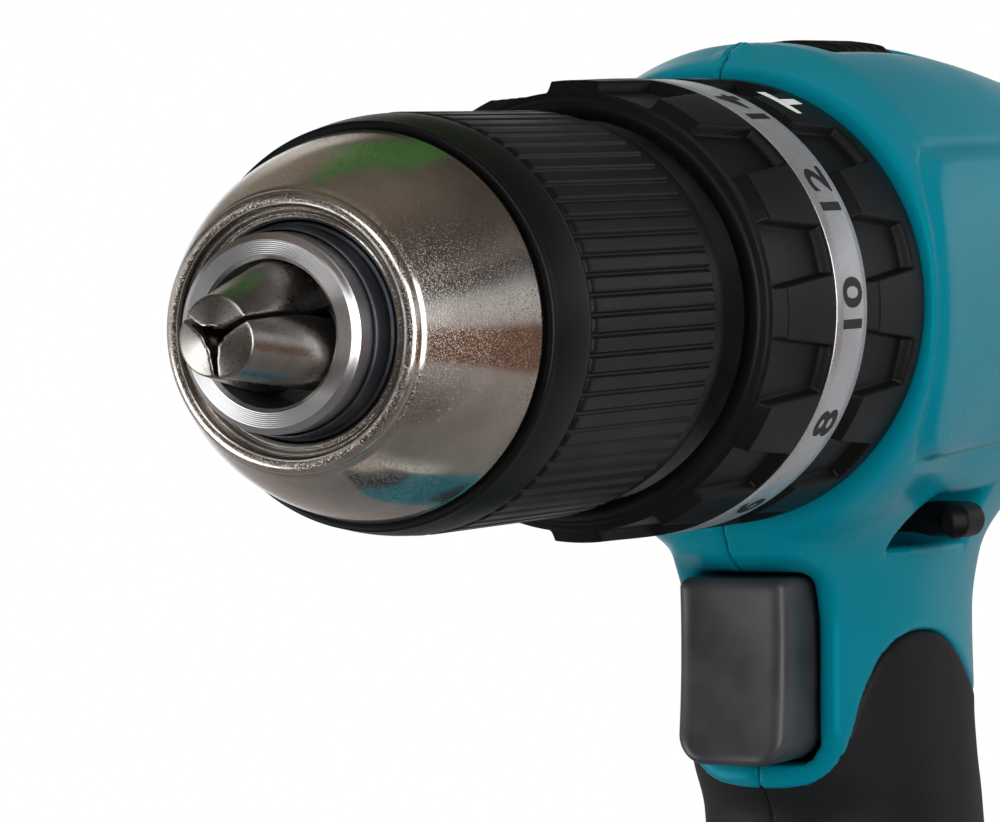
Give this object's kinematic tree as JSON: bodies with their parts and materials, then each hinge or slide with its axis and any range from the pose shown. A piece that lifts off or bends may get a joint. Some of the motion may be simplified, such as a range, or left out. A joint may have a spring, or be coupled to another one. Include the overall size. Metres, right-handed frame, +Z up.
{
  "type": "cordless combi drill",
  "caption": "Pistol-grip cordless drill with a keyless three-jaw chuck, torque and mode rings, two-speed gearbox, trigger and a sliding battery.",
  "frame": {"origin": "centre of the battery's flat base, on the surface that the tool stands on", "axes": "+X forward along the spindle towards the chuck, +Y to the tool's left side, +Z up"},
  "size_m": [0.239, 0.074, 0.2421],
  "materials": {
    "teal_plastic": "satin",
    "black_rubber": "matte",
    "black_plastic": "satin",
    "grey_plastic": "satin",
    "band_grey": "satin",
    "nickel": "polished",
    "machined_steel": "satin",
    "dark_steel": "satin",
    "gear_steel": "satin",
    "gear_case_alloy": "matte",
    "brass": "satin",
    "copper_winding": "satin",
    "magnet": "matte",
    "fan_plastic": "matte",
    "cell_can": "satin"
  },
  "bodies": {
    "housing": {"housing_left": "teal_plastic", "housing_right": "teal_plastic", "rear_cover": "teal_plastic", "grip_left": "black_rubber", "grip_right": "black_rubber", "housing_screws": "machined_steel", "hook_inserts": "brass", "trigger_switch": "black_plastic", "gear_case": "gear_case_alloy", "clutch_balls": "machined_steel", "clutch_spring": "gear_steel", "ring_gear_1": "gear_steel", "ring_gear_3": "gear_steel", "spindle_bearings": "machined_steel", "fixed_ratchet": "gear_steel", "motor_can": "gear_steel", "motor_magnets": "magnet", "brush_holder": "black_plastic", "terminal_block": "brass"},
    "output": {"spindle": "gear_steel", "turning_ratchet": "gear_steel", "carrier_3": "gear_steel", "chuck_body": "machined_steel", "chuck_screw": "gear_steel", "back_ring": "machined_steel"},
    "chuck_sleeve": {"grip_sleeve": "black_plastic", "smooth_ring": "black_plastic", "nose_sleeve": "nickel", "jaw_nut": "brass"},
    "jaw_top": {"jaw_1": "dark_steel"},
    "jaw_right": {"jaw_2": "dark_steel"},
    "jaw_left": {"jaw_3": "dark_steel"},
    "torque": {"torque_ring": "black_plastic", "number_band": "band_grey"},
    "clutch": {"clutch_nut": "brass"},
    "mode": {"mode_ring": "black_plastic"},
    "speed": {"speed_slider": "black_plastic", "shift_fork": "gear_steel"},
    "sliding_gear": {"ring_gear_2": "gear_steel"},
    "middle_stage": {"carrier_1": "gear_steel", "planets_2": "gear_steel", "carrier_2": "gear_steel"},
    "planet_1a": {"planet_1a": "gear_steel"},
    "planet_1b": {"planet_1b": "gear_steel"},
    "planet_1c": {"planet_1c": "gear_steel"},
    "planet_3a": {"planet_3a": "gear_steel"},
    "planet_3b": {"planet_3b": "gear_steel"},
    "planet_3c": {"planet_3c": "gear_steel"},
    "motor_rotor": {"armature": "copper_winding", "armature_shaft": "machined_steel", "commutator": "copper_winding", "motor_fan": "fan_plastic"},
    "trigger": {"trigger": "grey_plastic", "switch_plunger": "machined_steel"},
    "direction": {"direction_lever": "black_plastic"},
    "battery": {"battery_lower": "black_plastic", "battery_upper": "grey_plastic", "battery_cells": "cell_can"},
    "battery_catch": {"battery_latch": "black_plastic"}
  },
  "joints": [
    {"name": "chuck_spin", "type": "hinge", "parent": "housing", "child": "output", "pos_m": [0, 0, 0.212], "axis": [1, 0, 0], "continuous": true},
    {"name": "sleeve_turn", "type": "hinge", "parent": "output", "child": "chuck_sleeve", "pos_m": [0, 0, 0.212], "axis": [1, 0, 0], "range_deg": [-120, 2880]},
    {"name": "jaw_top_slide", "type": "slide", "parent": "output", "child": "jaw_top", "axis": [-0.9659, 0, 0.2588], "range_m": [-0.0011, 0.0241]},
    {"name": "jaw_right_slide", "type": "slide", "parent": "output", "child": "jaw_right", "axis": [-0.9659, -0.2241, -0.1294], "range_m": [-0.0011, 0.0241]},
    {"name": "jaw_left_slide", "type": "slide", "parent": "output", "child": "jaw_left", "axis": [-0.9659, 0.2241, -0.1294], "range_m": [-0.0011, 0.0241]},
    {"name": "torque_turn", "type": "hinge", "parent": "housing", "child": "torque", "pos_m": [0, 0, 0.212], "axis": [1, 0, 0], "range_deg": [0, 225]},
    {"name": "clutch_nut_slide", "type": "slide", "parent": "torque", "child": "clutch", "axis": [1, 0, 0], "range_m": [0, 0.0061], "deforming": ["clutch_spring"]},
    {"name": "mode_turn", "type": "hinge", "parent": "housing", "child": "mode", "pos_m": [0, 0, 0.212], "axis": [1, 0, 0], "range_deg": [-27, 27]},
    {"name": "speed_slide", "type": "slide", "parent": "housing", "child": "speed", "axis": [1, 0, 0], "range_m": [0, 0.006]},
    {"name": "middle_stage_spin", "type": "hinge", "parent": "housing", "child": "middle_stage", "pos_m": [0, 0, 0.212], "axis": [1, 0, 0], "continuous": true},
    {"name": "sliding_gear_slide", "type": "slide", "parent": "middle_stage", "child": "sliding_gear", "axis": [1, 0, 0], "range_m": [0, 0.0061]},
    {"name": "motor_spin", "type": "hinge", "parent": "housing", "child": "motor_rotor", "pos_m": [0, 0, 0.212], "axis": [1, 0, 0], "continuous": true},
    {"name": "planet_1a_spin", "type": "hinge", "parent": "middle_stage", "child": "planet_1a", "pos_m": [0.01, 0, 0.2012], "axis": [1, 0, 0], "continuous": true},
    {"name": "planet_1b_spin", "type": "hinge", "parent": "middle_stage", "child": "planet_1b", "pos_m": [0.01, 0.00935, 0.2174], "axis": [1, 0, 0], "continuous": true},
    {"name": "planet_1c_spin", "type": "hinge", "parent": "middle_stage", "child": "planet_1c", "pos_m": [0.01, -0.00935, 0.2174], "axis": [1, 0, 0], "continuous": true},
    {"name": "planet_3a_spin", "type": "hinge", "parent": "output", "child": "planet_3a", "pos_m": [0.0316, 0, 0.2012], "axis": [1, 0, 0], "continuous": true},
    {"name": "planet_3b_spin", "type": "hinge", "parent": "output", "child": "planet_3b", "pos_m": [0.0316, 0.00935, 0.2174], "axis": [1, 0, 0], "continuous": true},
    {"name": "planet_3c_spin", "type": "hinge", "parent": "output", "child": "planet_3c", "pos_m": [0.0316, -0.00935, 0.2174], "axis": [1, 0, 0], "continuous": true},
    {"name": "trigger_pull", "type": "slide", "parent": "housing", "child": "trigger", "axis": [-1, 0, 0], "range_m": [0, 0.006], "stiffness_N_per_m": 900, "springref_m": -0.003},
    {"name": "direction_turn", "type": "hinge", "parent": "housing", "child": "direction", "pos_m": [0.021, 0, 0.1858], "axis": [0, 0, 1], "range_deg": [-8, 8]},
    {"name": "battery_slide", "type": "slide", "parent": "housing", "child": "battery", "axis": [1, 0, 0], "range_m": [0, 0.075]},
    {"name": "battery_catch_press", "type": "slide", "parent": "battery", "child": "battery_catch", "axis": [0, 0, -1], "range_m": [0, 0.004], "stiffness_N_per_m": 800, "springref_m": -0.002}
  ],
  "couplings": [
    {"joint": "jaw_top_slide", "follows": "sleeve_turn", "m_per_rad": 0.00047746},
    {"joint": "jaw_right_slide", "follows": "sleeve_turn", "m_per_rad": 0.00047746},
    {"joint": "jaw_left_slide", "follows": "sleeve_turn", "m_per_rad": 0.00047746},
    {"joint": "clutch_nut_slide", "follows": "torque_turn", "m_per_rad": 0.0015279},
    {"joint": "sliding_gear_slide", "follows": "speed_slide", "ratio": 1},
    {"joint": "middle_stage_spin", "follows": "chuck_spin", "ratio": 4},
    {"joint": "motor_spin", "follows": "chuck_spin", "ratio": 16},
    {"joint": "planet_1a_spin", "follows": "chuck_spin", "ratio": -12},
    {"joint": "planet_1b_spin", "follows": "chuck_spin", "ratio": -12},
    {"joint": "planet_1c_spin", "follows": "chuck_spin", "ratio": -12},
    {"joint": "planet_3a_spin", "follows": "chuck_spin", "ratio": -3},
    {"joint": "planet_3b_spin", "follows": "chuck_spin", "ratio": -3},
    {"joint": "planet_3c_spin", "follows": "chuck_spin", "ratio": -3}
  ]
}
